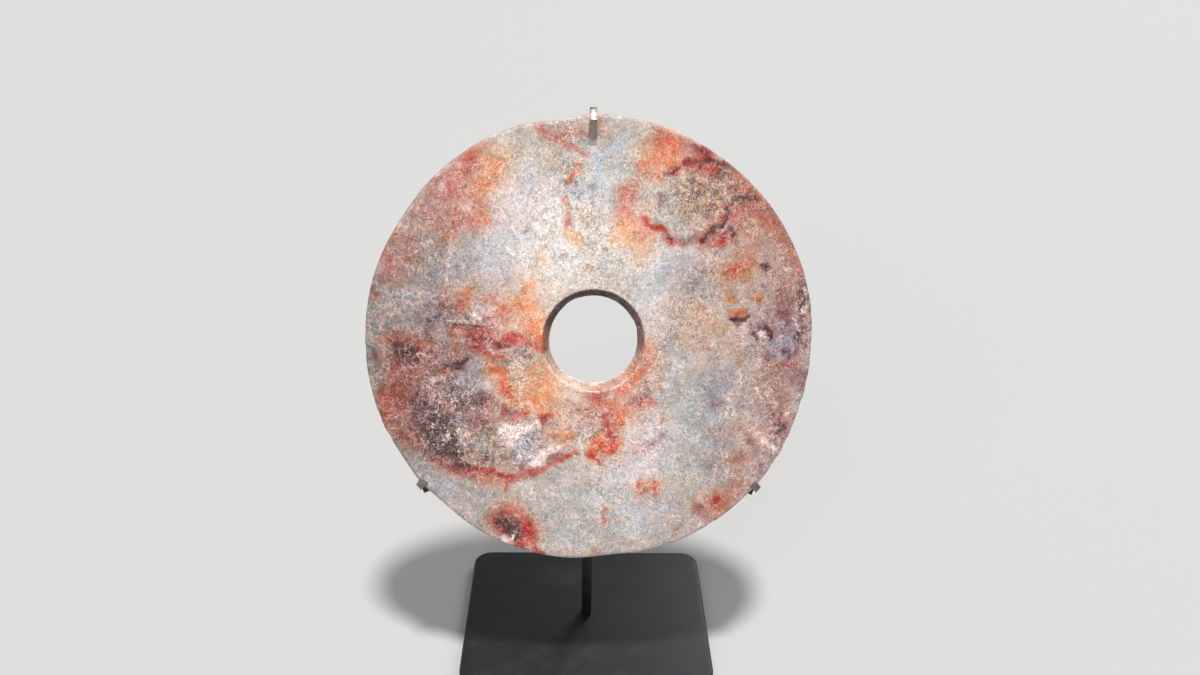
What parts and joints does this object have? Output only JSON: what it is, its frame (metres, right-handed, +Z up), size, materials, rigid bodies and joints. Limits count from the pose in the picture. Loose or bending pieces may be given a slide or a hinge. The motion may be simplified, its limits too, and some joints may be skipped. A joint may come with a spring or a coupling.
{
  "type": "jade bi disc on a display stand",
  "caption": "Flat ring of mottled jade with a drilled hole, leaning back in a dark metal cradle on a stem and foot plate.",
  "frame": {"origin": "centre of the foot plate's underside, straight under the stem", "axes": "+Z up along the stem, the disc's face towards -Y, +X to the right of someone who looks at the face"},
  "size_m": [0.2, 0.1, 0.2546],
  "materials": {
    "jade": "polished, mottled and stained",
    "black_paint": "satin black",
    "clip_metal": "brushed, dull"
  },
  "bodies": {
    "root": {"jade_disc": "jade", "cradle_frame": "black_paint", "top_clip": "clip_metal", "left_clip": "clip_metal", "right_clip": "clip_metal", "stem": "black_paint", "foot_plate": "black_paint"}
  },
  "joints": []
}
